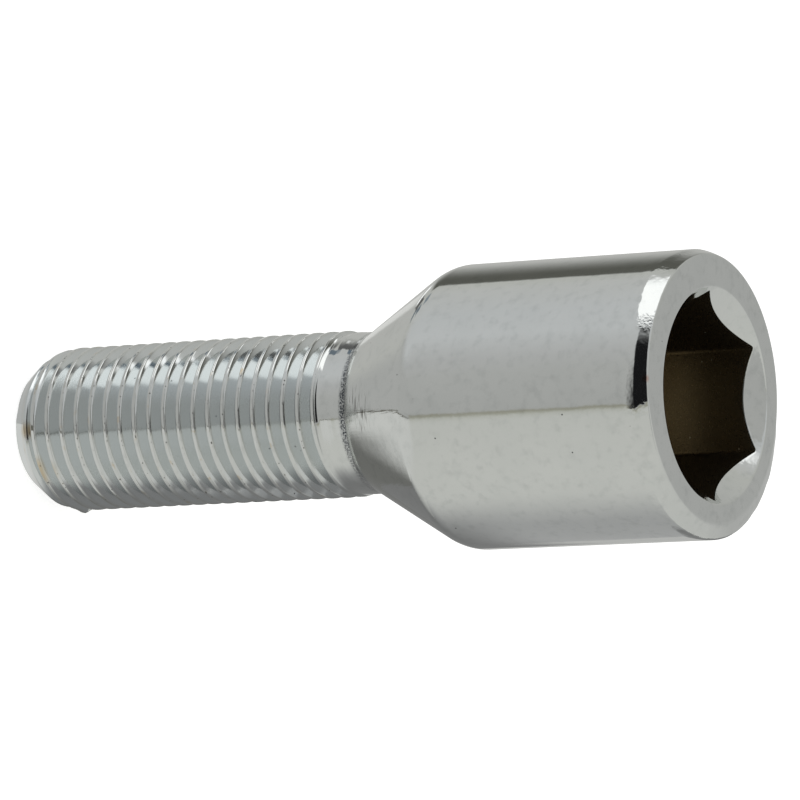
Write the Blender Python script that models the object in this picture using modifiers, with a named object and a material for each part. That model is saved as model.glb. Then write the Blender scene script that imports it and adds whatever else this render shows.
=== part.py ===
"""Wheel bolt with a conical seat and a hexagon socket, standing on its threaded end.

Metres, +Z up. The bolt's axis is the Z axis and the origin is the centre of the flat end of the thread.
Two flats of the socket face along Y.
"""

import math

import bmesh
import bpy

# Head
HEAD_RADIUS = 0.0100
HEAD_HEIGHT = 0.0265            # from the seat's narrow end to the face
FACE_CHAMFER = 0.00065
FACE_EDGE_SOFTENING = 0.00015

# Seat
SEAT_HALF_ANGLE = math.radians(30)
SHOULDER_RADIUS = 0.0027
NECK_FILLET = 0.0004

# Shank and its thread, a metric fine thread, right-handed
SHANK_LENGTH = 0.0285           # from the thread's end to the seat's narrow end
NECK_RADIUS = 0.00573
NECK_LENGTH = 0.00225
PITCH = 0.00125
CREST_RADIUS = 0.005925
CREST_ALLOWANCE = 0.000075      # by which the crests stay under the thread's nominal radius
THREAD_PHASE = 0.54             # share of a turn by which the helix is turned round the axis
TIP_RADIUS = 0.00447
TIP_CHAMFER_LENGTH = 0.00154
TIP_CHAMFER_RADIUS = 0.00560    # where the chamfer gives way to the lead-in
LEAD_IN_LENGTH = 0.00117        # over which the first turn grows to its full height
RUN_OUT_TURNS = 1.0             # over which the groove climbs to the neck

# Socket
SOCKET_FLATS = 0.0125           # across two opposite flats
SOCKET_DEPTH = 0.0120
SOCKET_CORNER_RADIUS = 0.0003
SOCKET_FLOOR_SLOPE = math.radians(15)
COUNTERSINK_RADIUS = 0.00751
COUNTERSINK_ANGLE = math.radians(45)

# Roundness of the facets
HEAD_STEPS = 64
THREAD_STEPS = 40
SOCKET_SIDES = 6
SHARP_ANGLE = math.radians(25)

# Derived from the sizes above
SEAT_LENGTH = (HEAD_RADIUS - NECK_RADIUS) / math.tan(SEAT_HALF_ANGLE)
SEAT_TOP = SHANK_LENGTH + SEAT_LENGTH
FACE_HEIGHT = SHANK_LENGTH + HEAD_HEIGHT
FACE_RADIUS = HEAD_RADIUS - FACE_CHAMFER
THREAD_TOP = SHANK_LENGTH - NECK_LENGTH

# The metric thread's form: a sharp 60 degree tooth, with flats at its root and its crest
THREAD_ANGLE = math.radians(60)
SHARP_HEIGHT = PITCH / 2 / math.tan(THREAD_ANGLE / 2)
ROOT_RADIUS = CREST_RADIUS + CREST_ALLOWANCE - SHARP_HEIGHT * 17 / 24
ROOT_FLAT = PITCH / 6
FLANK_LENGTH = (CREST_RADIUS - ROOT_RADIUS) * math.tan(THREAD_ANGLE / 2)

# How far one solid reaches past another before a union or a cut
OVERLAP = 0.0002


def clear_scene():
    """Remove every object, and the empty collections they leave."""
    for old in list(bpy.data.objects):
        bpy.data.objects.remove(old, do_unlink=True)
    for old in list(bpy.data.collections):
        bpy.data.collections.remove(old)


def new_collection(name):
    """Return a new collection linked to the scene."""
    made = bpy.data.collections.new(name)
    bpy.context.scene.collection.children.link(made)
    return made


def new_material(name, colour, roughness, metallic):
    """Return a Principled material in one colour, given as linear red, green and blue."""
    made = bpy.data.materials.new(name)
    made.use_nodes = True
    shader = made.node_tree.nodes["Principled BSDF"]
    shader.inputs["Base Color"].default_value = (*colour, 1.0)
    shader.inputs["Roughness"].default_value = roughness
    shader.inputs["Metallic"].default_value = metallic
    return made


def arc(centre, radius, start, end, pieces):
    """Points on a circle in the profile's plane, as (radius from the axis, height), from start to end angle."""
    points = []
    for i in range(pieces + 1):
        angle = start + (end - start) * i / pieces
        points.append((centre[0] + radius * math.cos(angle), centre[1] + radius * math.sin(angle)))
    return points


def profile_object(name, points, collection):
    """A chain of edges through (radius from the axis, height) points at +X, ready for a Screw modifier."""
    mesh = bpy.data.meshes.new(name)
    vertices = [(radius, 0.0, height) for radius, height in points]
    edges = [(i, i + 1) for i in range(len(points) - 1)]
    mesh.from_pydata(vertices, edges, [])
    made = bpy.data.objects.new(name, mesh)
    collection.objects.link(made)
    return made


def turned(name, points, steps, collection):
    """A solid of revolution from a profile that runs down its outer side, from the axis back to the axis."""
    made = profile_object(name, points, collection)
    screw = made.modifiers.new("turn", "SCREW")
    screw.axis = "Z"
    screw.steps = steps
    screw.render_steps = steps
    screw.use_merge_vertices = True
    screw.merge_threshold = 0.00001
    return made


def evaluated_mesh(source):
    """The source's mesh with its modifiers applied, as a new mesh."""
    graph = bpy.context.evaluated_depsgraph_get()
    return bpy.data.meshes.new_from_object(source.evaluated_get(graph))


def apply_modifiers(target):
    """Replace the target's mesh by its evaluated one, so that its edges can be marked sharp."""
    mesh = evaluated_mesh(target)
    target.modifiers.clear()
    target.data = mesh
    target.data.name = target.name


def hide_tool(tool):
    """Mark an object that only shapes another one."""
    tool.hide_render = True
    tool.display_type = "WIRE"


def combine(target, tool, operation):
    """Add an exact Boolean of the tool to the target."""
    boolean = target.modifiers.new(tool.name, "BOOLEAN")
    boolean.operation = operation
    boolean.solver = "EXACT"
    boolean.object = tool


def head_profile():
    """Outer side of the head, its seat and the neck, from the face down to the nose inside the thread."""
    soft = FACE_EDGE_SOFTENING
    points = [(0.0, FACE_HEIGHT)]
    # The face meets its chamfer, and the chamfer the side, each in a small flat that breaks the edge
    points.append((FACE_RADIUS - soft, FACE_HEIGHT))
    points.append((FACE_RADIUS + soft * 0.7, FACE_HEIGHT - soft * 0.7))
    points.append((HEAD_RADIUS - soft * 0.7, FACE_HEIGHT - FACE_CHAMFER + soft * 0.7))
    points.append((HEAD_RADIUS, FACE_HEIGHT - FACE_CHAMFER - soft))

    # The side turns into the seat along the shoulder's arc
    shoulder_setback = SHOULDER_RADIUS * math.tan(SEAT_HALF_ANGLE / 2)
    shoulder_centre = (HEAD_RADIUS - SHOULDER_RADIUS, SEAT_TOP + shoulder_setback)
    points += arc(shoulder_centre, SHOULDER_RADIUS, 0.0, -SEAT_HALF_ANGLE, 6)

    # The seat turns into the neck along the fillet, which is hollow
    fillet_setback = NECK_FILLET * math.tan(SEAT_HALF_ANGLE / 2)
    fillet_centre = (NECK_RADIUS + NECK_FILLET, SHANK_LENGTH - fillet_setback)
    points += arc(fillet_centre, NECK_FILLET, math.pi - SEAT_HALF_ANGLE, math.pi, 3)

    # The neck's nose narrows inside the thread, and fills its last groove step by step
    nose_radius = ROOT_RADIUS - OVERLAP
    nose_length = RUN_OUT_TURNS * PITCH
    points.append((NECK_RADIUS, THREAD_TOP))
    points.append((nose_radius, THREAD_TOP - nose_length))
    points.append((0.0, THREAD_TOP - nose_length))
    return points


def shank_limit_profile():
    """Outer side of the space that the thread fills: the tip's chamfer, the lead-in and the run-out."""
    full_radius = CREST_RADIUS + OVERLAP / 2
    lead_in_end = TIP_CHAMFER_LENGTH + LEAD_IN_LENGTH
    return [
        (0.0, SHANK_LENGTH),
        (ROOT_RADIUS, SHANK_LENGTH),
        (NECK_RADIUS - OVERLAP, THREAD_TOP + PITCH / 2),
        (full_radius, THREAD_TOP - PITCH / 2),
        (full_radius, lead_in_end),
        (TIP_CHAMFER_RADIUS, TIP_CHAMFER_LENGTH),
        (TIP_RADIUS, 0.0),
        (0.0, 0.0),
    ]


def threaded_rod(collection):
    """A rod with the thread's true helix: one tooth's profile, turned and raised by the pitch each turn.

    It starts and ends more than a turn outside the finished thread, where its caps are cut away or buried.
    """
    tooth = [
        (ROOT_RADIUS, PITCH),
        (CREST_RADIUS, PITCH - FLANK_LENGTH),
        (CREST_RADIUS, ROOT_FLAT + FLANK_LENGTH),
        (ROOT_RADIUS, ROOT_FLAT),
        (ROOT_RADIUS, 0.0),
    ]
    turns_below = 2
    turns_above = 3
    turns = math.ceil(SHANK_LENGTH / PITCH) + turns_below + turns_above
    start = (THREAD_PHASE - turns_below) * PITCH
    profile = profile_object("tooth", [(radius, height + start) for radius, height in tooth], collection)
    screw = profile.modifiers.new("helix", "SCREW")
    screw.axis = "Z"
    screw.steps = THREAD_STEPS
    screw.render_steps = THREAD_STEPS
    screw.screw_offset = PITCH
    screw.iterations = turns
    screw.use_merge_vertices = False

    # The turns are joined, and each end is closed by a fan of faces round one point
    body = bmesh.new()
    body.from_mesh(evaluated_mesh(profile))
    bpy.data.objects.remove(profile, do_unlink=True)
    bmesh.ops.remove_doubles(body, verts=body.verts, dist=0.000001)
    ends = [edge for edge in body.edges if edge.is_boundary]
    caps = bmesh.ops.holes_fill(body, edges=ends, sides=0)["faces"]
    bmesh.ops.poke(body, faces=caps)
    bmesh.ops.recalc_face_normals(body, faces=body.faces)
    mesh = bpy.data.meshes.new("wheel_bolt")
    body.to_mesh(mesh)
    body.free()
    made = bpy.data.objects.new("wheel_bolt", mesh)
    collection.objects.link(made)
    return made


def socket_cutter(collection):
    """The hexagon punch: six sides, a blunt pointed end, and its long edges rounded."""
    corner_radius = SOCKET_FLATS / 2 / math.cos(math.pi / SOCKET_SIDES)
    floor = FACE_HEIGHT - SOCKET_DEPTH
    point_length = corner_radius * math.tan(SOCKET_FLOOR_SLOPE)
    top = FACE_HEIGHT + COUNTERSINK_RADIUS
    points = [(0.0, top), (corner_radius, top), (corner_radius, floor), (0.0, floor - point_length)]
    made = turned("socket_punch", points, SOCKET_SIDES, collection)
    bevel = made.modifiers.new("rounded_edges", "BEVEL")
    bevel.width = SOCKET_CORNER_RADIUS
    bevel.segments = 2
    bevel.limit_method = "ANGLE"
    bevel.angle_limit = math.radians(50)
    return made


def countersink_cutter(collection):
    """The cone that opens the socket's mouth and cuts a curved edge across each flat."""
    reach = OVERLAP + COUNTERSINK_RADIUS
    depth = COUNTERSINK_RADIUS * math.tan(COUNTERSINK_ANGLE)
    slope = math.tan(COUNTERSINK_ANGLE)
    top_radius = COUNTERSINK_RADIUS + OVERLAP / slope
    points = [
        (0.0, FACE_HEIGHT + reach),
        (top_radius, FACE_HEIGHT + reach),
        (top_radius, FACE_HEIGHT + OVERLAP),
        (0.0, FACE_HEIGHT - depth),
    ]
    return turned("countersink", points, HEAD_STEPS, collection)


def build():
    """Make the bolt."""
    clear_scene()
    parts = new_collection("wheel_bolt")
    cutters = new_collection("cutters")

    bolt = threaded_rod(parts)
    limit = turned("shank_limit", shank_limit_profile(), HEAD_STEPS, cutters)
    head = turned("head_and_neck", head_profile(), HEAD_STEPS, cutters)
    socket = socket_cutter(cutters)
    countersink = countersink_cutter(cutters)
    for tool in (limit, head, socket, countersink):
        hide_tool(tool)

    combine(bolt, limit, "INTERSECT")
    combine(bolt, head, "UNION")
    combine(bolt, socket, "DIFFERENCE")
    combine(bolt, countersink, "DIFFERENCE")
    apply_modifiers(bolt)

    plating = new_material("bright_chrome_plate", (0.60, 0.61, 0.60), 0.14, 1.0)
    bolt.data.materials.append(plating)
    bolt.data.shade_smooth()
    bolt.data.set_sharp_from_angle(angle=SHARP_ANGLE)


build()
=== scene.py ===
import math

import bpy
import numpy as np
from mathutils import Matrix, Vector


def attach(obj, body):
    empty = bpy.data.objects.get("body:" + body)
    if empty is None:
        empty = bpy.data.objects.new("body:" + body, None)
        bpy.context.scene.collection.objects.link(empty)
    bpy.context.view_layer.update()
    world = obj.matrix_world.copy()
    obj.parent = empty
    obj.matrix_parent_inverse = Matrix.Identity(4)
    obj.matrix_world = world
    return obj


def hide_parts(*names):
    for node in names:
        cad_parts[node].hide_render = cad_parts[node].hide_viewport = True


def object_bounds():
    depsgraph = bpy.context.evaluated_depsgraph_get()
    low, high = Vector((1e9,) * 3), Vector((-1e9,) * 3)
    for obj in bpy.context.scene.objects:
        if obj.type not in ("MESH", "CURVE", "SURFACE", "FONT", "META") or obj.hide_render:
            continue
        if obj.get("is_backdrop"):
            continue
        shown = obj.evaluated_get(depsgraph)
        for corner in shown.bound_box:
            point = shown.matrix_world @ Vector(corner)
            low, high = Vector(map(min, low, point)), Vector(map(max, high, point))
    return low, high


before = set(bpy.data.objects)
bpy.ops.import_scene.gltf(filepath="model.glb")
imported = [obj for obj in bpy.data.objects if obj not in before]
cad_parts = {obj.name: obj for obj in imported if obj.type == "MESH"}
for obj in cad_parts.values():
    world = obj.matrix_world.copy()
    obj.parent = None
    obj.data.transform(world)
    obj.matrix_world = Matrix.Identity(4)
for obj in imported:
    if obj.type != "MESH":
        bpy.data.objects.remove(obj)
cad_low, cad_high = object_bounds()


# Threaded shank
# The real one is a steel blank whose thread is rolled between dies before plating, so the crests keep a
# small flat with a seam, the roots are round, and the first turn grows out of a chamfered end.

MM = 0.001
PITCH = 1.25 * MM
CREST_RADIUS = 5.925 * MM
ROOT_RADIUS = 5.10 * MM
CREST_FLAT = 0.22 * MM
CREST_CROWN = 0.012 * MM
CREST_WAVES = 0.16
SEAM_OFFSET = 0.02 * MM
SEAM_HALF = 0.035 * MM
SEAM_DEPTH = 0.030 * MM
FLANK_SLOPE = math.tan(math.radians(60))
THREAD_ROUNDING = 0.05 * MM
THREAD_PHASE = 0.54
CREST_START = 0.729 * MM
TIP_RADIUS = 4.47 * MM
CHAMFER_RADIUS = 5.60 * MM
CHAMFER_LENGTH = 1.54 * MM
LEAD_IN_END = 2.71 * MM
NECK_RADIUS = 5.73 * MM
THREAD_TOP = 26.25 * MM
RUN_OUT = 0.6 * PITCH
RUN_OUT_ROUNDING = 0.06 * MM
SEAT_FOOT = 28.5 * MM
SHANK_TOP = 28.9 * MM
TURN_COLUMNS = 144
TURNS_BELOW = 5
TURNS_ABOVE = 2
MERGE_DISTANCE = 0.0002 * MM
BURR_AZIMUTH = math.radians(2)
BURR_PLACE = 2.7 * MM
BURR_WIDTH = 0.5 * MM
BURR_LENGTH = 0.60 * MM
BURR_RISE = 0.20 * MM


def soft_least(a, b, rounding):
    """The lesser of a and b, with the corner between them rounded over that distance."""
    blend = np.clip(0.5 + 0.5 * (b - a) / rounding, 0.0, 1.0)
    return b + (a - b) * blend - rounding * blend * (1.0 - blend)


def crest_flat(turns):
    """Width of the crest's flat along the helix, in turns from its start: the mean width and three slow
    waves that don't repeat from one turn to the next, as rolling leaves it."""
    phase = 2 * np.pi * turns
    waves = 0.5 * np.sin(2.37 * phase + 0.4) + 0.3 * np.sin(5.81 * phase + 1.9)
    waves = waves + 0.2 * np.sin(11.13 * phase + 4.0)
    return CREST_FLAT * (1.0 + CREST_WAVES * waves)


def rolled_seam(turns):
    """Depth along the helix of the seam where the two lips of a rolled crest meet: three waves added and
    cut off at nought, so it closes for short lengths."""
    phase = 2 * np.pi * turns
    waves = 0.5 * np.sin(3.31 * phase) + 0.4 * np.sin(7.7 * phase + 1.0) + 0.5 * np.sin(17.9 * phase + 2.5)
    return SEAM_DEPTH * np.clip(0.55 + waves, 0.0, 1.0)


def thread_depth(offset, flat, seam):
    """Depth under the crest at an offset along the axis from the crest's centre: a slightly crowned
    flat with a seam in it, then a 60 degree flank, then a round root, with both corners rounded."""
    full_depth = CREST_RADIUS - ROOT_RADIUS
    slope_depth = (np.abs(offset) - flat / 2) * FLANK_SLOPE
    crown_depth = CREST_CROWN * np.minimum((2 * offset / flat) ** 2, 1.0)
    crown_depth = crown_depth + seam * np.maximum(1.0 - ((offset - SEAM_OFFSET) / SEAM_HALF) ** 2, 0.0)
    crest_rounded = -soft_least(-slope_depth, -crown_depth, THREAD_ROUNDING)
    return soft_least(crest_rounded, full_depth, THREAD_ROUNDING)


def shank_side(path, thread_offset, flat, seam):
    """Radius and height along the shank. The path is the height, and carries on past both ends of the
    side as the radius of the flat end and of the hidden top."""
    height = np.clip(path, 0.0, SHANK_TOP)
    limit = np.interp(
        height,
        [0.0, CHAMFER_LENGTH, LEAD_IN_END, THREAD_TOP, THREAD_TOP + RUN_OUT, SHANK_TOP],
        [TIP_RADIUS, CHAMFER_RADIUS, CREST_RADIUS, CREST_RADIUS, NECK_RADIUS, NECK_RADIUS],
    )
    filled = np.interp(
        height,
        [THREAD_TOP - RUN_OUT, THREAD_TOP, SHANK_TOP],
        [ROOT_RADIUS - 0.2 * MM, NECK_RADIUS, NECK_RADIUS],
    )
    threaded = CREST_RADIUS - thread_depth(thread_offset, flat, seam)
    radius = soft_least(threaded, limit, THREAD_ROUNDING)
    running_out = -soft_least(-radius, -filled, RUN_OUT_ROUNDING)
    radius = np.where(height > THREAD_TOP - RUN_OUT, running_out, radius)
    past_end = np.maximum(-path, 0.0) + np.maximum(path - SHANK_TOP, 0.0)
    return radius * np.clip(1.0 - past_end / (2 * PITCH), 0.0, 1.0), height


def mesh_object(name, points, quads, materials, unrolled=None, finish=None):
    """A smooth mesh object from an array of points and an array of four-cornered faces, with a UV place
    for each corner and a material number for each face where they are given. Points that coincide are
    merged, and faces that thereby lose all but two corners go."""
    mesh = bpy.data.meshes.new(name)
    mesh.from_pydata(points, [], quads)
    if unrolled is not None:
        mesh.uv_layers.new(name="unrolled").data.foreach_set("uv", unrolled.ravel())
    for material in materials:
        mesh.materials.append(material)
    if finish is not None:
        mesh.polygons.foreach_set("material_index", finish)
    made = bpy.data.objects.new(name, mesh)
    bpy.context.scene.collection.objects.link(made)
    merge = made.modifiers.new("merge", "WELD")
    merge.merge_threshold = MERGE_DISTANCE
    graph = bpy.context.evaluated_depsgraph_get()
    merged = bpy.data.meshes.new_from_object(made.evaluated_get(graph))
    made.modifiers.clear()
    made.data = merged
    bpy.data.meshes.remove(mesh)
    merged.name = name
    merged.shade_smooth()
    return made


def threaded_shank(material):
    """A helical grid: row m and column j lie at the height start + pitch (m's share + j's share of a
    turn), so rows follow the crests, and each turn's last column joins the next turn's first. Its UV
    map is the same two numbers: turns along the helix, and pitches from a crest across it."""
    # The rows' places in millimetres from a crest, closest together where the profile turns
    crest = [-0.18, -0.14, -0.12, -0.10, -0.06, -0.015, 0.02, 0.055, 0.08, 0.10, 0.12, 0.14, 0.18]
    groove = [0.33, 0.53, 0.56, 0.585, 0.605, 0.625, 0.645, 0.665, 0.69, 0.72, 0.92]
    shares = np.sort(np.mod(np.array(crest + groove) * MM / PITCH, 1.0))

    # On the +X side the crests lie THREAD_PHASE pitches and CREST_START up, and whole pitches from there
    turns = math.ceil(SHANK_TOP / PITCH) + TURNS_BELOW + TURNS_ABOVE
    start = (THREAD_PHASE - TURNS_BELOW) * PITCH + CREST_START
    rows = (np.arange(turns)[:, None] + shares[None, :]).ravel()
    turned = np.arange(TURN_COLUMNS) / TURN_COLUMNS
    path = start + PITCH * (rows[:, None] + turned[None, :])
    offset = (np.mod(rows + 0.5, 1.0) - 0.5)[:, None] * PITCH + np.zeros_like(path)
    along_helix = np.floor(rows + 0.5)[:, None] + turned[None, :]
    radius, height = shank_side(path, offset, crest_flat(along_helix), rolled_seam(along_helix))
    azimuth = 2 * np.pi * turned[None, :]
    around = (np.mod(azimuth - BURR_AZIMUTH + np.pi, 2 * np.pi) - np.pi) * CREST_RADIUS

    # The burr is a small bump on the first turn, highest in its middle
    from_burr = np.hypot(around / BURR_WIDTH, (height - BURR_PLACE) / BURR_LENGTH)
    radius = radius + BURR_RISE * np.exp(-(from_burr**2))
    points = np.stack([radius * np.cos(azimuth), radius * np.sin(azimuth), height], axis=-1).reshape(-1, 3)

    index = np.arange(len(rows))[:, None] * TURN_COLUMNS + np.arange(TURN_COLUMNS)[None, :]
    per_turn = len(shares)
    here = index[: -per_turn - 1]
    above = index[1:-per_turn]
    next_here = np.concatenate([here[:, 1:], index[per_turn:-1, :1]], axis=1)
    next_above = np.concatenate([above[:, 1:], index[per_turn + 1 :, :1]], axis=1)
    quads = np.stack([here, next_here, next_above, above], axis=-1).reshape(-1, 4)
    low_row, column = np.meshgrid(rows[: -per_turn - 1], turned, indexing="ij")
    high_row = rows[1:-per_turn, None] + np.zeros_like(column)
    ahead = column + 1 / TURN_COLUMNS
    corners = ((column, low_row), (ahead, low_row), (ahead, high_row), (column, high_row))
    unrolled = np.stack([np.stack(corner, axis=-1) for corner in corners], axis=2)
    return mesh_object("threaded_shank", points, quads, [material], unrolled)


def linear(hex_colour):
    """Linear red, green, blue and alpha from an sRGB hex value."""
    srgb = np.array([int(hex_colour[i : i + 2], 16) for i in (1, 3, 5)]) / 255
    plain = np.where(srgb <= 0.04045, srgb / 12.92, ((srgb + 0.055) / 1.055) ** 2.4)
    return (*plain.tolist(), 1.0)


def add(tree, kind, inputs=None, **settings):
    """Add a node, give it its settings, and set each input or link it to the socket given for it."""
    node = tree.nodes.new(kind)
    for name, value in settings.items():
        setattr(node, name, value)
    for name, value in (inputs or {}).items():
        if isinstance(value, bpy.types.NodeSocket):
            tree.links.new(value, node.inputs[name])
        else:
            node.inputs[name].default_value = value
    return node


# Bright chrome plate over nickel, laid straight on the rolled and turned steel. It mirrors the room in a
# cool grey. It shows the slow waves of the metal under it, is satin on the rolled flanks, thin and tan
# in spots along the crests, and rough in the tight corner of the neck, where painted shade darkens it,
# most on the front side. Hairlines run round the foot of the seat, where something has rubbed it. The
# corner's roughness, the pits and the hairlines are finer than a tenth of a millimetre on the real one,
# and are drawn as coarse as they need to show.
PEEL_WAVE = 3.5 * MM
PEEL_HEIGHT = 0.012 * MM
RIPPLE_WAVE = 0.55 * MM
RIPPLE_HEIGHT = 0.0022 * MM
PIN_SPACING = 1.5 * MM
CORNER_GRAIN = 0.13 * MM
TAN_PATCH = 0.9 * MM
SMUDGE = 0.7 * MM
CREST_EDGE_SPECK_GRAIN = 0.22 * MM
STREAK_GRAIN = 0.22 * MM
PIT_GRAIN = 0.16 * MM
RIM_WAVE = 0.42 * MM
HAIRLINE_GRAIN = 0.10 * MM
TONE_PATCH = 2.4 * MM
PIN_SHARE = 0.4
PLATE_ROUGHNESS = (0.045, 0.09)

chrome = bpy.data.materials.new("bright_chrome_plate")
chrome.use_nodes = True
plate = chrome.node_tree
chrome_shader = plate.nodes["Principled BSDF"]
chrome_shader.inputs["Metallic"].default_value = 1.0
place = add(plate, "ShaderNodeTexCoord").outputs["Object"]
place_parts = add(plate, "ShaderNodeSeparateXYZ", {"Vector": place})
height = place_parts.outputs["Z"]

# Place across the thread, in pitches from the nearest crest
unrolled = add(plate, "ShaderNodeUVMap", uv_map="unrolled").outputs["UV"]
across = add(plate, "ShaderNodeSeparateXYZ", {"Vector": unrolled}).outputs["Y"]
shifted = add(plate, "ShaderNodeMath", {0: across, 1: 0.5}, operation="ADD").outputs[0]
turn_part = add(plate, "ShaderNodeMath", {0: shifted}, operation="FRACT").outputs[0]
from_crest = add(plate, "ShaderNodeMath", {0: turn_part, 1: 0.5}, operation="SUBTRACT").outputs[0]
crest_distance = add(plate, "ShaderNodeMath", {0: from_crest}, operation="ABSOLUTE").outputs[0]
marks = {"height": height, "from crest": from_crest, "crest distance": crest_distance}

# Grains of noise: size, detail, and how far they are stretched along X, Y and Z
for name, size, detail, stretch in (
    ("peel", PEEL_WAVE, 1.0, (1.0, 1.0, 1.0)),
    ("ripple", RIPPLE_WAVE, 2.0, (1.0, 1.0, 1.0)),
    ("drawn streaks", STREAK_GRAIN, 1.0, (1.0, 7.0, 9.0)),
    ("pits", PIT_GRAIN, 2.0, (1.0, 1.0, 1.0)),
    ("rim waves", RIM_WAVE, 1.0, (1.0, 1.0, 1.0)),
    ("corner grain", CORNER_GRAIN, 3.0, (1.0, 1.0, 1.0)),
    ("crest-edge speck grain", CREST_EDGE_SPECK_GRAIN, 2.0, (1.0, 1.0, 1.0)),
    ("rubbed lines", HAIRLINE_GRAIN, 1.0, (12.0, 12.0, 1.0)),
    ("tone patches", TONE_PATCH, 3.0, (1.0, 1.0, 1.0)),
    ("smudge grain", SMUDGE, 5.0, (1.0, 1.0, 1.0)),
    ("tan grain", TAN_PATCH, 3.0, (1.0, 1.0, 1.0)),
):
    scale = tuple(1 / (size * factor) for factor in stretch)
    scaled = add(plate, "ShaderNodeVectorMath", {0: place, 1: scale}, operation="MULTIPLY")
    noise = add(plate, "ShaderNodeTexNoise", {"Vector": scaled.outputs[0], "Scale": 1.0, "Detail": detail})
    marks[name] = noise.outputs["Fac"]

# Distances from single spots, which are given in millimetres
for name, spot in (
    ("from scuff", (0.3, -6.9, 30.2)),
    ("from pitting", (-4.55, -8.65, 54.4)),
    ("from tip stain", (0.23, -5.4, 1.5)),
    ("from crest stain", (3.1, -4.8, 2.7)),
    ("from face stain", (-0.66, -9.66, 54.85)),
):
    spot_place = tuple(v * MM for v in spot)
    away = add(plate, "ShaderNodeVectorMath", {0: place, 1: spot_place}, operation="DISTANCE")
    marks[name] = away.outputs["Value"]

corner_offset = add(plate, "ShaderNodeMath", {0: height, 1: SEAT_FOOT}, operation="SUBTRACT").outputs[0]
corner_distance = add(plate, "ShaderNodeMath", {0: corner_offset}, operation="ABSOLUTE").outputs[0]
marks["corner distance"] = corner_distance

# Pinholes are the middle of some of the cells of a cell pattern
pins = add(plate, "ShaderNodeTexVoronoi", {"Vector": place, "Scale": 1 / PIN_SPACING})
pin_pick = add(plate, "ShaderNodeSeparateColor", {"Color": pins.outputs["Color"]}).outputs[0]
pinned = add(plate, "ShaderNodeMath", {0: pin_pick, 1: 1 - PIN_SHARE}, operation="GREATER_THAN")
marks["pinned cells"] = pinned.outputs[0]
marks["pin distance"] = pins.outputs["Distance"]

# Masks: a name, the value it comes from, where it is 0, and where it is 1
for name, source, none, full in (
    ("threaded", "height", THREAD_TOP, THREAD_TOP - 0.5 * MM),
    ("crest", "crest distance", 0.13, 0.08),
    ("crest and edges", "crest distance", 0.26, 0.06),
    ("flank", "crest distance", 0.12, 0.18),
    ("past crest", "from crest", 0.02, 0.045),
    ("before flank", "from crest", 0.12, 0.09),
    ("above seat foot", "height", 28.6 * MM, 29.2 * MM),
    ("below shoulder", "height", 37.0 * MM, 35.5 * MM),
    ("above side", "height", 53.2 * MM, 53.6 * MM),
    ("below face", "height", 55.0 * MM, 54.9 * MM),
    ("corner", "corner distance", 0.44 * MM, 0.14 * MM),
    ("crest-edge speck spots", "crest-edge speck grain", 0.63, 0.71),
    ("rubbed", "rubbed lines", 0.56, 0.66),
    ("smudges", "smudge grain", 0.46, 0.80),
    ("tan spots", "tan grain", 0.60, 0.80),
    ("pins", "pin distance", 0.050, 0.028),
    ("scuff", "from scuff", 2.4 * MM, 0.8 * MM),
    ("pitting", "from pitting", 0.95 * MM, 0.4 * MM),
    ("tip stain", "from tip stain", 0.9 * MM, 0.1 * MM),
    ("crest stain", "from crest stain", 1.5 * MM, 0.4 * MM),
    ("face stain", "from face stain", 0.38 * MM, 0.05 * MM),
):
    marks[name] = add(
        plate,
        "ShaderNodeMapRange",
        {"Value": marks[source], "From Min": none, "From Max": full},
        interpolation_type="SMOOTHSTEP",
    ).outputs[0]
for name, source, low, high, least in (
    ("broken corner", marks["corner grain"], 0.40, 0.58, 0.25),
    ("front corner", place_parts.outputs["Y"], -3.0 * MM, -5.6 * MM, 0.35),
):
    marks[name] = add(
        plate, "ShaderNodeMapRange", {"Value": source, "From Min": low, "From Max": high, "To Min": least}
    ).outputs[0]

# Products of masks: where two or more of them hold at once
for name, factors in (
    ("on flank", ("threaded", "flank")),
    ("seat streaks", ("above seat foot", "below shoulder", "drawn streaks")),
    ("pitted", ("pitting", "pits")),
    ("rim relief", ("above side", "below face", "rim waves")),
    # Painted shade darkens the rough corner of the neck, most on the front side
    ("rough corner and painted shade", ("corner", "broken corner", "front corner")),
    # Dark specks along one side of each crest, from the seam to the crest's edge
    ("crest-edge dark specks", ("threaded", "past crest", "before flank", "crest-edge speck spots")),
    ("hairlines", ("scuff", "rubbed")),
    ("pinholes", ("pins", "pinned cells")),
    ("tan crests", ("threaded", "crest", "tan spots")),
    ("stained crest", ("crest stain", "crest and edges")),
):
    result = marks[factors[0]]
    for factor in factors[1:]:
        result = add(plate, "ShaderNodeMath", {0: result, 1: marks[factor]}, operation="MULTIPLY").outputs[0]
    marks[name] = result

# Relief, from the slow waves down to the pits, with the depth of each
normal = None
for name, depth in (
    ("peel", PEEL_HEIGHT),
    ("ripple", RIPPLE_HEIGHT),
    ("seat streaks", 0.004 * MM),
    ("pitted", 0.05 * MM),
    ("rim relief", 0.012 * MM),
):
    wave = {"Height": marks[name], "Strength": 1.0, "Distance": depth}
    if normal is not None:
        wave["Normal"] = normal
    normal = add(plate, "ShaderNodeBump", wave).outputs["Normal"]
plate.links.new(normal, chrome_shader.inputs["Normal"])

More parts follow.
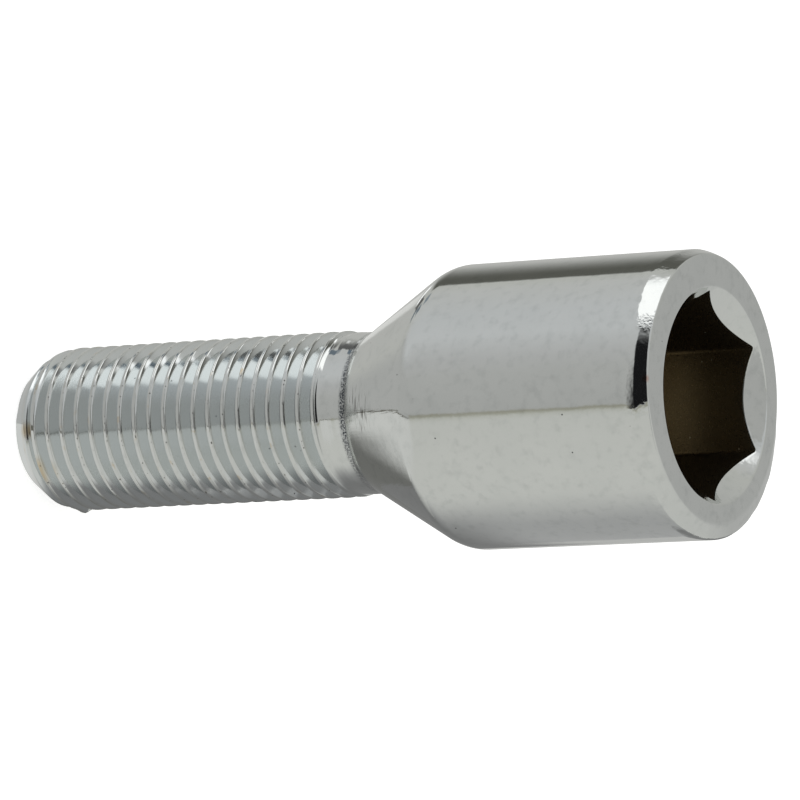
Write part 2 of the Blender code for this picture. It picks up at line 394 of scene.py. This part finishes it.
# Tones, each laid over the ones before it
tone = add(
    plate,
    "ShaderNodeMix",
    {0: marks["tone patches"], 6: linear("#CDD0CE"), 7: linear("#D5D7D5")},
    data_type="RGBA",
).outputs[2]
for name, hex_colour in (
    ("smudges", "#C6C9C7"),
    # Painted highlight: the flanks' lighter, bluer tone brightens and cools the light they pass between each
    # other
    ("on flank", "#D4D8D8"),
    ("tan crests", "#C2B6A0"),
    ("tip stain", "#BDB29E"),
    ("stained crest", "#C3B8A0"),
    ("face stain", "#C0A296"),
    # Painted shade in the neck's corner
    ("rough corner and painted shade", "#3F444A"),
    ("crest-edge dark specks", "#4A4640"),
    ("hairlines", "#747470"),
    ("pinholes", "#3A3A3C"),
):
    over = {0: marks[name], 6: tone, 7: linear(hex_colour)}
    tone = add(plate, "ShaderNodeMix", over, data_type="RGBA").outputs[2]
plate.links.new(tone, chrome_shader.inputs["Base Color"])
smooth, dull = PLATE_ROUGHNESS
roughness = add(
    plate, "ShaderNodeMapRange", {"Value": marks["tone patches"], "To Min": smooth, "To Max": dull}
).outputs[0]
for name, more in (("rough corner and painted shade", 0.22), ("on flank", 0.05)):
    rougher = {0: marks[name], 1: more, 2: roughness}
    roughness = add(plate, "ShaderNodeMath", rougher, operation="MULTIPLY_ADD").outputs[0]
plate.links.new(roughness, chrome_shader.inputs["Roughness"])

shank = threaded_shank(chrome)
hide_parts("wheel_bolt")
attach(shank, "root")


# Head
# One forging with the shank: a tall round head on a 60 degree seat. Its face is turned, with a chamfer
# that runs out of centre, and the socket is punched and then countersunk.

HEAD_RADIUS = (cad_high.x - cad_low.x) / 2
FACE_HEIGHT = cad_high.z
SEAT_HALF_ANGLE = math.radians(30)
NECK_FILLET = 0.7 * MM
SHOULDER_RADIUS = 2.7 * MM
FACE_EDGE_RADIUS = 9.28 * MM
FACE_EDGE_CENTRE = np.array([-0.35, -0.30]) * MM
SIDE_BREAK = 0.12 * MM
FACE_BREAK = 0.13 * MM
RIM_WAVINESS = 0.02
MOUTH_RADIUS = 7.51 * MM
SOCKET_CENTRE = np.array([0.095, 0.03]) * MM
HALF_FLATS = 6.25 * MM
SOCKET_CORNER = 0.3 * MM
SOCKET_DEPTH = 12.0 * MM
FLOOR_REACH = 7.2 * MM
FLOOR_SLOPE = math.tan(math.radians(15))
HEAD_COLUMNS = 720
WALL_RINGS = 16
FLOOR_RINGS = 5
HIDDEN_DEPTH = 0.3 * MM

azimuth = 2 * np.pi * np.arange(HEAD_COLUMNS) / HEAD_COLUMNS
CENTRED = np.zeros(2)


def hexagon_radius(angle):
    """Distance from the centre to a hexagon with rounded corners: across a flat it is the half width
    over the cosine of the angle from the flat's middle, and round a corner it is where that direction
    meets the corner's circle. A corner lies along +X."""
    from_flat = np.abs(np.mod(angle, np.pi / 3) - np.pi / 6)
    corner_distance = (HALF_FLATS - SOCKET_CORNER) / math.cos(math.pi / 6)
    tangent_angle = math.atan((HALF_FLATS - SOCKET_CORNER) * math.tan(math.pi / 6) / HALF_FLATS)
    from_corner = np.pi / 6 - from_flat
    reach = np.sqrt(np.maximum(SOCKET_CORNER**2 - (corner_distance * np.sin(from_corner)) ** 2, 0.0))
    rounded = corner_distance * np.cos(from_corner) + reach
    return np.where(from_flat < tangent_angle, HALF_FLATS / np.cos(from_flat), rounded)


def ring(radius, height, centre=CENTRED):
    """Points round the axis at each azimuth, from a radius and a height that may vary with it."""
    across = centre[0] + radius * np.cos(azimuth)
    along = centre[1] + radius * np.sin(azimuth)
    return np.stack([across, along, np.broadcast_to(height, across.shape)], axis=-1)


def between(first, last, count):
    """Rings spread evenly from the first to the last, without the last."""
    share = (np.arange(count) / count)[:, None, None]
    return first[None] + (last - first)[None] * share


def arc_rings(centre_radius, centre_height, radius, start, end, count):
    """Rings along an arc of the profile, whose angle runs evenly from start to end."""
    angles = np.linspace(start, end, count)
    return np.stack(
        [ring(centre_radius + radius * math.cos(a), centre_height + radius * math.sin(a)) for a in angles]
    )


def chamfer_drop(angle):
    """How far the chamfer reaches down the side: a turned chamfer that runs out of true, read off a table
    of drops by azimuth with smooth steps between them, and a little wavy all round."""
    azimuths = np.radians([-180, -162, -147, -136, -126, -112, -90, -57, -35, -10, 20, 55, 90, 130, 180])
    drops = [0.95, 1.20, 1.54, 1.40, 1.22, 0.84, 0.82, 0.89, 0.98, 0.74, 0.50, 0.44, 0.62, 0.78, 0.95]
    drops = np.array(drops)
    turned = np.mod(angle + np.pi, 2 * np.pi) - np.pi
    place = np.clip(np.searchsorted(azimuths, turned, side="right") - 1, 0, len(azimuths) - 2)
    share = (turned - azimuths[place]) / (azimuths[place + 1] - azimuths[place])
    smooth = share * share * (3.0 - 2.0 * share)
    waves = 0.6 * np.sin(23 * angle) + 0.4 * np.sin(41 * angle + 1.3)
    return (drops[place] + (drops[place + 1] - drops[place]) * smooth + RIM_WAVINESS * waves) * MM


def head(plated, bare):
    """Rings laid from a disc hidden in the neck, up the outside, over the face and down the socket to
    the point of its floor. Each ring is a circle or the hexagon, with its own centre. The rings below
    the countersink's lower edge have the socket's finish."""
    fillet_setback = NECK_FILLET * math.tan(SEAT_HALF_ANGLE / 2)
    fillet_height = SEAT_FOOT - fillet_setback
    fillet_end = math.pi - SEAT_HALF_ANGLE
    fillet = arc_rings(NECK_RADIUS + NECK_FILLET, fillet_height, NECK_FILLET, math.pi, fillet_end, 7)
    seat_length = (HEAD_RADIUS - NECK_RADIUS) / math.tan(SEAT_HALF_ANGLE)
    shoulder_height = SEAT_FOOT + seat_length + SHOULDER_RADIUS * math.tan(SEAT_HALF_ANGLE / 2)
    shoulder_centre = HEAD_RADIUS - SHOULDER_RADIUS
    shoulder = arc_rings(shoulder_centre, shoulder_height, SHOULDER_RADIUS, -SEAT_HALF_ANGLE, 0.0, 17)
    rim = FACE_HEIGHT - chamfer_drop(azimuth)
    side_end = ring(HEAD_RADIUS, rim - SIDE_BREAK)

    # The chamfer leans from the side's rim to the face's edge, with both corners broken
    outer = ring(HEAD_RADIUS, rim)
    inner = ring(FACE_EDGE_RADIUS, FACE_HEIGHT, FACE_EDGE_CENTRE)
    chamfer_start = outer + (inner - outer) * 0.16
    rim_middle = (side_end + chamfer_start) / 2 * 0.5 + outer * 0.5
    chamfer_end = inner + (outer - inner) * 0.14
    face_start = ring(FACE_EDGE_RADIUS - FACE_BREAK, FACE_HEIGHT, FACE_EDGE_CENTRE)
    shares = np.array([0.25, 0.5, 0.75])[:, None, None]
    edge_arc = (1 - shares) ** 2 * chamfer_end + 2 * shares * (1 - shares) * inner + shares**2 * face_start

    # The countersink meets the flats in a curve, where the height follows the hexagon's radius
    wall = hexagon_radius(azimuth)
    meets = FACE_HEIGHT - (MOUTH_RADIUS - wall)
    mouth_out = ring(MOUTH_RADIUS + 0.05 * MM, FACE_HEIGHT, SOCKET_CENTRE)
    mouth_mid = ring(MOUTH_RADIUS, FACE_HEIGHT - 0.012 * MM, SOCKET_CENTRE)
    mouth_in = ring(MOUTH_RADIUS - 0.045 * MM, FACE_HEIGHT - 0.045 * MM, SOCKET_CENTRE)
    bevel_end = ring(wall + 0.035 * MM, meets + 0.035 * MM, SOCKET_CENTRE)
    edge_mid = ring(wall + 0.008 * MM, meets - 0.004 * MM, SOCKET_CENTRE)
    wall_start = ring(wall, meets - 0.05 * MM, SOCKET_CENTRE)
    floor_height = FACE_HEIGHT - SOCKET_DEPTH
    wall_end = ring(wall, floor_height, SOCKET_CENTRE)
    point = ring(wall * 0.0, floor_height - FLOOR_REACH * FLOOR_SLOPE, SOCKET_CENTRE)

    hidden = ring(NECK_RADIUS - 0.03 * MM, SEAT_FOOT - HIDDEN_DEPTH)
    rings = np.concatenate(
        [
            between(ring(0.0, SEAT_FOOT - HIDDEN_DEPTH), hidden, 2),
            hidden[None],
            fillet,
            between(fillet[-1], shoulder[0], 20)[1:],
            shoulder,
            between(shoulder[-1], side_end, 20)[1:],
            side_end[None],
            rim_middle[None],
            between(chamfer_start, chamfer_end, 3),
            chamfer_end[None],
            edge_arc,
            between(face_start, mouth_out, 8),
            mouth_out[None],
            mouth_mid[None],
            between(mouth_in, bevel_end, 5),
            bevel_end[None],
            edge_mid[None],
            between(wall_start, wall_end, WALL_RINGS),
            between(wall_end, point, FLOOR_RINGS),
            point[None],
        ]
    )
    index = np.arange(rings.shape[0] * HEAD_COLUMNS).reshape(rings.shape[0], HEAD_COLUMNS)
    following = np.roll(index, -1, axis=1)
    quads = np.stack([index[:-1], following[:-1], following[1:], index[1:]], axis=-1).reshape(-1, 4)
    socket_start = len(rings) - (WALL_RINGS + FLOOR_RINGS + 1)
    finish = np.repeat((np.arange(len(rings) - 1) >= socket_start).astype(np.int32), HEAD_COLUMNS)
    return mesh_object("head", rings.reshape(-1, 3), quads, [plated, bare], finish=finish)


# Punched steel inside the socket, where the plating barely reaches: a satin, brown-grey metal with the
# fine grain that the punch leaves, drawn as coarse as it needs to show, and a few bright flecks. The
# light that reaches the eye has met it two or three times, which turns it dark brown.
SOCKET_GRAIN = 0.14 * MM
GRAIN_HEIGHT = 0.007 * MM
FLECK_SPACING = 0.9 * MM
FLECK_SHARE = 0.2

socket_steel = bpy.data.materials.new("thin_plated_socket_steel")
socket_steel.use_nodes = True
inside = socket_steel.node_tree
socket_shader = inside.nodes["Principled BSDF"]
socket_shader.inputs["Metallic"].default_value = 1.0
socket_place = add(inside, "ShaderNodeTexCoord").outputs["Object"]
scaled_place = add(
    inside, "ShaderNodeVectorMath", {0: socket_place, 1: (1 / SOCKET_GRAIN,) * 3}, operation="MULTIPLY"
)
punch_grain = add(
    inside, "ShaderNodeTexNoise", {"Vector": scaled_place.outputs[0], "Scale": 1.0, "Detail": 2.0}
).outputs["Fac"]
socket_parts = add(inside, "ShaderNodeSeparateXYZ", {"Vector": socket_place})
aside = add(inside, "ShaderNodeMath", {0: socket_parts.outputs["X"]}, operation="ABSOLUTE").outputs[0]
fleck_cells = add(inside, "ShaderNodeTexVoronoi", {"Vector": socket_place, "Scale": 1 / FLECK_SPACING})
fleck_pick = add(inside, "ShaderNodeSeparateColor", {"Color": fleck_cells.outputs["Color"]}).outputs[0]
some_flecks = {0: fleck_pick, 1: 1 - FLECK_SHARE}
fleck_some = add(inside, "ShaderNodeMath", some_flecks, operation="GREATER_THAN").outputs[0]

# Tones: the grain, painted shade on the flats beside the middle one, the darker mouth, and the flecks
socket_tone = add(
    inside, "ShaderNodeMix", {0: punch_grain, 6: linear("#9B917C"), 7: linear("#B4AA95")}, data_type="RGBA"
).outputs[2]
for source, none, full, most, hex_colour in (
    (aside, 3.5 * MM, 3.8 * MM, 1.0, "#7F7665"),
    (socket_parts.outputs["Z"], 48.6 * MM, 51.6 * MM, 1.0, "#8A806C"),
    (fleck_cells.outputs["Distance"], 0.10, 0.06, fleck_some, "#E8E4DA"),
):
    share_of_tone = add(
        inside,
        "ShaderNodeMapRange",
        {"Value": source, "From Min": none, "From Max": full, "To Max": most},
        interpolation_type="SMOOTHSTEP",
    ).outputs[0]
    over = {0: share_of_tone, 6: socket_tone, 7: linear(hex_colour)}
    socket_tone = add(inside, "ShaderNodeMix", over, data_type="RGBA").outputs[2]
inside.links.new(socket_tone, socket_shader.inputs["Base Color"])
grain_roughness = add(
    inside, "ShaderNodeMapRange", {"Value": punch_grain, "To Min": 0.24, "To Max": 0.34}
).outputs[0]
inside.links.new(grain_roughness, socket_shader.inputs["Roughness"])
grain_bump = add(inside, "ShaderNodeBump", {"Height": punch_grain, "Strength": 1.0, "Distance": GRAIN_HEIGHT})
inside.links.new(grain_bump.outputs["Normal"], socket_shader.inputs["Normal"])

bolt_head = head(chrome, socket_steel)
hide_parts("wheel_bolt")
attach(bolt_head, "root")


# Floor
# A plain white sheet of paper, laid flat, on which the bolt stands on the end of its thread. It keeps the
# bolt's soft shadow, and the plating shows the near sheets in its place.

FLOOR_HALF = 1.5
FLOOR_GLOW = 0.62

floor_mesh = bpy.data.meshes.new("floor")
floor_corners = [(x * FLOOR_HALF, y * FLOOR_HALF, 0.0) for x, y in ((-1, -1), (1, -1), (1, 1), (-1, 1))]
floor_mesh.from_pydata(floor_corners, [], [(0, 1, 2, 3)])
floor = bpy.data.objects.new("floor", floor_mesh)
bpy.context.scene.collection.objects.link(floor)
floor.visible_glossy = False
white = bpy.data.materials.new("white_paper")
white.use_nodes = True
white_tree = white.node_tree
white_shader = white_tree.nodes["Principled BSDF"]
white_shader.inputs["Base Color"].default_value = linear("#F4F4F4")
white_shader.inputs["Roughness"].default_value = 0.9
white_shader.inputs["Specular IOR Level"].default_value = 0.0
to_camera = add(white_tree, "ShaderNodeLightPath").outputs["Is Camera Ray"]
glow = add(white_tree, "ShaderNodeMath", {0: to_camera, 1: FLOOR_GLOW}, operation="MULTIPLY")
white_shader.inputs["Emission Color"].default_value = linear("#FFFFFF")
white_tree.links.new(glow.outputs[0], white_shader.inputs["Emission Strength"])
floor_mesh.materials.append(white)
floor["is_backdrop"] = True


# Light
# A small white studio, seen in the plating: a far room that changes with the bearing, a lamp's soft box
# to the left, and near it a few sheets and the dark lens, which only the plating shows.

world = bpy.data.worlds.new("studio")
bpy.context.scene.world = world
world.use_nodes = True
room = world.node_tree
bpy.context.scene.view_settings.view_transform = "Standard"

# Far room: bearing in degrees from the front, turning to the left, and linear light
FAR_ROOM = [
    (-180, (0.52, 0.52, 0.51)),
    (-160, (0.55, 0.55, 0.54)),
    (-140, (0.68, 0.68, 0.66)),
    (-60, (0.73, 0.73, 0.70)),
    (-14.5, (0.70, 0.70, 0.67)),
    (-10.4, (0.62, 0.62, 0.57)),
    (-9.4, (0.37, 0.36, 0.29)),
    (-8.2, (0.37, 0.36, 0.29)),
    (-7.4, (0.53, 0.53, 0.52)),
    (22, (0.56, 0.56, 0.55)),
    (36, (0.60, 0.60, 0.60)),
    (56, (0.70, 0.71, 0.72)),
    (76, (0.68, 0.69, 0.70)),
    (104, (0.66, 0.66, 0.65)),
    (112, (0.63, 0.63, 0.60)),
    (134, (0.60, 0.60, 0.58)),
    (160, (0.53, 0.53, 0.51)),
    (180, (0.52, 0.52, 0.51)),
]
SEAM_SWING = math.radians(5)
SOFT_BOX_LEVEL = 1.5
HIGH_FRONT = "#C0C0BE"

direction = add(room, "ShaderNodeTexCoord").outputs["Generated"]
parts = add(room, "ShaderNodeSeparateXYZ", {"Vector": direction})
left = add(room, "ShaderNodeMath", {0: parts.outputs["X"], 1: -1.0}, operation="MULTIPLY").outputs[0]
front = add(room, "ShaderNodeMath", {0: parts.outputs["Y"], 1: -1.0}, operation="MULTIPLY").outputs[0]
bearing = add(room, "ShaderNodeMath", {0: left, 1: front}, operation="ARCTAN2").outputs[0]
rise = add(room, "ShaderNodeMath", {0: parts.outputs["Z"]}, operation="ARCSINE").outputs[0]
above = add(room, "ShaderNodeMath", {0: rise, 1: 0.0}, operation="MAXIMUM").outputs[0]
room_marks = {"rise": rise, "front": front}

# Above the horizon the soft box leans to the left and narrows
for name, lean in (("right edge bearing", -0.3), ("left edge bearing", 0.25)):
    leaning = add(room, "ShaderNodeMath", {0: above, 1: lean, 2: bearing}, operation="MULTIPLY_ADD")
    room_marks[name] = leaning.outputs[0]

# Masks over the directions: a name, the value it comes from, where it is 0, and where it is 1
for name, source, none, full in (
    ("swing", "rise", math.radians(-28), math.radians(-8)),
    ("box right", "right edge bearing", math.radians(58), math.radians(64)),
    ("box left", "left edge bearing", math.radians(104), math.radians(95)),
    ("box foot", "rise", math.radians(-26), math.radians(-22)),
    ("box top", "rise", math.radians(54), math.radians(34)),
    ("high", "rise", math.radians(44), math.radians(52)),
    ("in front", "front", 0.18, 0.30),
):
    room_marks[name] = add(
        room,
        "ShaderNodeMapRange",
        {"Value": room_marks[source], "From Min": none, "From Max": full},
        interpolation_type="SMOOTHSTEP",
    ).outputs[0]

# The room's corner seam swings to the right as it rises past the table's edge
swung = add(
    room, "ShaderNodeMath", {0: room_marks["swing"], 1: SEAM_SWING, 2: bearing}, operation="MULTIPLY_ADD"
)
share = add(
    room, "ShaderNodeMath", {0: swung.outputs[0], 1: 1 / (2 * math.pi), 2: 0.5}, operation="MULTIPLY_ADD"
)
far_ramp = add(room, "ShaderNodeValToRGB", {"Fac": share.outputs[0]})
stops = far_ramp.color_ramp.elements
while len(stops) < len(FAR_ROOM):
    stops.new(0.5)
for stop, (angle, level) in zip(stops, FAR_ROOM):
    stop.position = (angle + 180) / 360
for stop, (angle, level) in zip(stops, FAR_ROOM):
    stop.color = (*level, 1.0)

# High up in front the room is a little darker, over it comes the soft box, and the eye sees plain white
seen = far_ramp.outputs["Color"]
for factors, colour in (
    (("high", "in front"), linear(HIGH_FRONT)),
    (("box right", "box left", "box foot", "box top"), (SOFT_BOX_LEVEL,) * 3 + (1.0,)),
):
    solid = room_marks[factors[0]]
    for factor in factors[1:]:
        both = {0: solid, 1: room_marks[factor]}
        solid = add(room, "ShaderNodeMath", both, operation="MULTIPLY").outputs[0]
    seen = add(room, "ShaderNodeMix", {0: solid, 6: seen, 7: colour}, data_type="RGBA").outputs[2]
to_eye = add(room, "ShaderNodeLightPath").outputs["Is Camera Ray"]
seen = add(room, "ShaderNodeMix", {0: to_eye, 6: seen, 7: (1.0, 1.0, 1.0, 1.0)}, data_type="RGBA").outputs[2]
room.links.new(seen, room.nodes["Background"].inputs["Color"])
room.nodes["Background"].inputs["Strength"].default_value = 1.0


def facing(bearing_degrees, distance):
    """Where an upright card stands towards a bearing: its foot, and the directions along and up it."""
    angle = math.radians(bearing_degrees)
    foot = Vector((-math.sin(angle), -math.cos(angle), 0.0)) * distance * MM
    return foot, Vector((-math.cos(angle), math.sin(angle), 0.0)) * MM, Vector((0.0, 0.0, MM))


def lying(x, y, z, turn_degrees):
    """Where a card lies at the table's height: its origin, and its two directions, turned by an angle."""
    angle = math.radians(turn_degrees)
    along = Vector((math.cos(angle), math.sin(angle), 0.0)) * MM
    return Vector((x, y, z)) * MM, along, Vector((0.0, 0.0, 1.0)).cross(along)


# Near sheets: name, place, reach along and up, how far those four edges fade inward, and light. All
# lengths are millimetres. The table's two papers meet in a line that runs from the bolt to the front.
PAPER_LINE = (0.30, -8.5)
SEAM_LIGHT = (0.16, 0.155, 0.13)
CARDS = [
    # The foot sheet and the side and back sheets are painted shadow: their grey stands for the bolt's shadow
    # on the table beside it, which the plating mirrors
    ("foot_sheet", lying(0, 0, -0.4, 33), (0, 70), (-11, 34), (7, 6, 5.5, 34), (0.195, 0.195, 0.185)),
    ("paper_seam", lying(*PAPER_LINE, -0.7, 11), (-0.5, 0.35), (-60, 3.4), (0.2, 0.2, 25, 1.6), SEAM_LIGHT),
    ("right_paper", lying(*PAPER_LINE, -1, 11), (0, 30), (-60, 14), (0.05, 14, 25, 8), (0.77, 0.77, 0.75)),
    ("left_paper", lying(*PAPER_LINE, -1, 11), (-30, 0), (-60, 14), (14, 0.05, 25, 8), (0.54, 0.54, 0.53)),
    ("low_side_sheet", facing(-100, 20), (-22, 12), (-3, 35), (2, 15, 2, 8), (0.24, 0.24, 0.24)),
    ("high_side_sheet", facing(-122, 50), (-32, 22), (29, 60), (6, 14, 4, 8), (0.24, 0.24, 0.24)),
    ("side_sheet", facing(-100, 41), (-40, 24), (-3, 60), (4, 30, 5, 14), (0.47, 0.47, 0.47)),
    ("low_back_sheet", facing(180, 60), (-1, 90), (-100, -7), (2, 5, 5, 2), (0.25, 0.25, 0.25)),
    ("dark_strip", facing(122, 16), (-11.0, -0.8), (25.5, 61), (0.5, 8.0, 2, 5), (0.13, 0.13, 0.115)),
    ("neck_strip", facing(122, 16), (-11.0, -2.0), (17, 23), (0.5, 7.0, 1, 1), (0.14, 0.14, 0.14)),
    ("upper_side_sheet", facing(-128, 30), (-15, 13), (40, 58), (5, 6, 3, 7), (0.26, 0.26, 0.26)),
    ("low_lamp_edge", facing(99, 30), (-2.6, 2.6), (-6, 6), (1, 1, 2, 1), (0.18, 0.22, 0.26)),
    ("lamp_edge", facing(90, 30), (-3, 3), (5, 11.6), (1.2, 1.2, 1, 0.5), (0.18, 0.22, 0.26)),
    ("high_lamp_edge", facing(90, 30), (-3, 3), (14.3, 20), (1.2, 1.2, 0.5, 2), (0.28, 0.32, 0.36)),
    ("glint", facing(121, 14), (-6.8, -4.2), (20.5, 27.5), (0.8, 0.8, 1.5, 1.5), (1.4, 1.4, 1.4)),
    ("back_paper", lying(-19, 29, -1, 0), (-9, 9), (-9, 10), (5, 5, 5, 5), (0.80, 0.80, 0.78)),
]


def card(name, place, sides, heights, fades, light, slopes=(0.0, 0.0)):
    """A flat card that only the plating sees. Its UV map is millimetres along it and up it, its foot
    and its top fall by their slopes along it, and its four edges fade inward."""
    foot, along, up = place
    corners = [(side, heights[0] - slopes[0] * side) for side in sides]
    corners += [(side, heights[1] - slopes[1] * side) for side in reversed(sides)]
    mesh = bpy.data.meshes.new(name)
    mesh.from_pydata([foot + along * a + up * b for a, b in corners], [], [(0, 1, 2, 3)])
    mesh.uv_layers.new(name="along").data.foreach_set("uv", np.array(corners, dtype=float).ravel())
    finish = bpy.data.materials.new(name)
    finish.use_nodes = True
    tree = finish.node_tree
    tree.nodes.clear()
    spot = add(tree, "ShaderNodeSeparateXYZ", {"Vector": add(tree, "ShaderNodeTexCoord").outputs["UV"]})
    aside, upward = spot.outputs["X"], spot.outputs["Y"]
    edges = [(aside, sides[0], sides[0] + fades[0]), (aside, sides[1], sides[1] - fades[1])]
    for slope, height_here, inside_height in (
        (slopes[0], heights[0], heights[0] + fades[2]),
        (slopes[1], heights[1], heights[1] - fades[3]),
    ):
        levelled = add(tree, "ShaderNodeMath", {0: aside, 1: slope, 2: upward}, operation="MULTIPLY_ADD")
        edges.append((levelled.outputs[0], height_here, inside_height))
    solid = 1.0
    for measured, none, full in edges:
        solid = add(
            tree,
            "ShaderNodeMapRange",
            {"Value": measured, "From Min": none, "From Max": full, "To Max": solid},
            interpolation_type="SMOOTHSTEP",
        ).outputs[0]
    glow = add(tree, "ShaderNodeEmission", {"Color": (*light, 1.0), "Strength": 1.0})
    clear = add(tree, "ShaderNodeBsdfTransparent")
    mixed = add(tree, "ShaderNodeMixShader", {0: solid, 1: clear.outputs[0], 2: glow.outputs[0]})
    add(tree, "ShaderNodeOutputMaterial", {"Surface": mixed.outputs[0]})
    mesh.materials.append(finish)
    made = bpy.data.objects.new(name, mesh)
    bpy.context.scene.collection.objects.link(made)
    made.visible_camera = False
    made.visible_diffuse = False
    made.visible_shadow = False
    made.visible_transmission = False
    made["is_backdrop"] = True


for name, place_of_card, sides, heights, fades, light in CARDS:
    card(name, place_of_card, sides, heights, fades, light)
card(
    "lens",
    facing(8, 65),
    (-22.5, 66),
    (24, 112),
    (1, 38, 16, 12),
    (0.012, 0.012, 0.013),
    slopes=(-0.25, 0.65),
)


# Camera
# It stands in front of the bolt and looks down on its face, rolled so that the bolt lies across the
# picture with its thread to the left.

LENS = 285.66
FACE_IN_CAMERA = Vector((21.6171376, -0.418955161, 434.286140)) * MM
AXIS_IN_CAMERA = Vector((0.85563235, -0.04859627, -0.51529768))
ACROSS_IN_CAMERA = Vector((0.51590722, 0.0, 0.85664447))
UP_IN_CAMERA = Vector((-0.04162973, -0.9988185, 0.02507117))
FLATS_TURN = math.radians(-2.23)

flats_in_camera = ACROSS_IN_CAMERA * math.cos(FLATS_TURN) + UP_IN_CAMERA * math.sin(FLATS_TURN)
corner_in_camera = flats_in_camera.cross(AXIS_IN_CAMERA)
turn = Matrix((corner_in_camera, flats_in_camera, AXIS_IN_CAMERA))
camera_data = bpy.data.cameras.new("camera")
camera_data.lens = LENS
camera_data.sensor_width = 36.0
camera_data.clip_start = 0.01
camera_data.clip_end = 10.0
camera = bpy.data.objects.new("camera", camera_data)
bpy.context.scene.collection.objects.link(camera)
columns = (turn @ Vector((1, 0, 0)), turn @ Vector((0, -1, 0)), turn @ Vector((0, 0, -1)))
camera.matrix_world = Matrix.Translation(Vector((0, 0, FACE_HEIGHT)) - turn @ FACE_IN_CAMERA) @ Matrix(
    columns
).transposed().to_4x4()
bpy.context.scene.camera = camera

low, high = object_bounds()
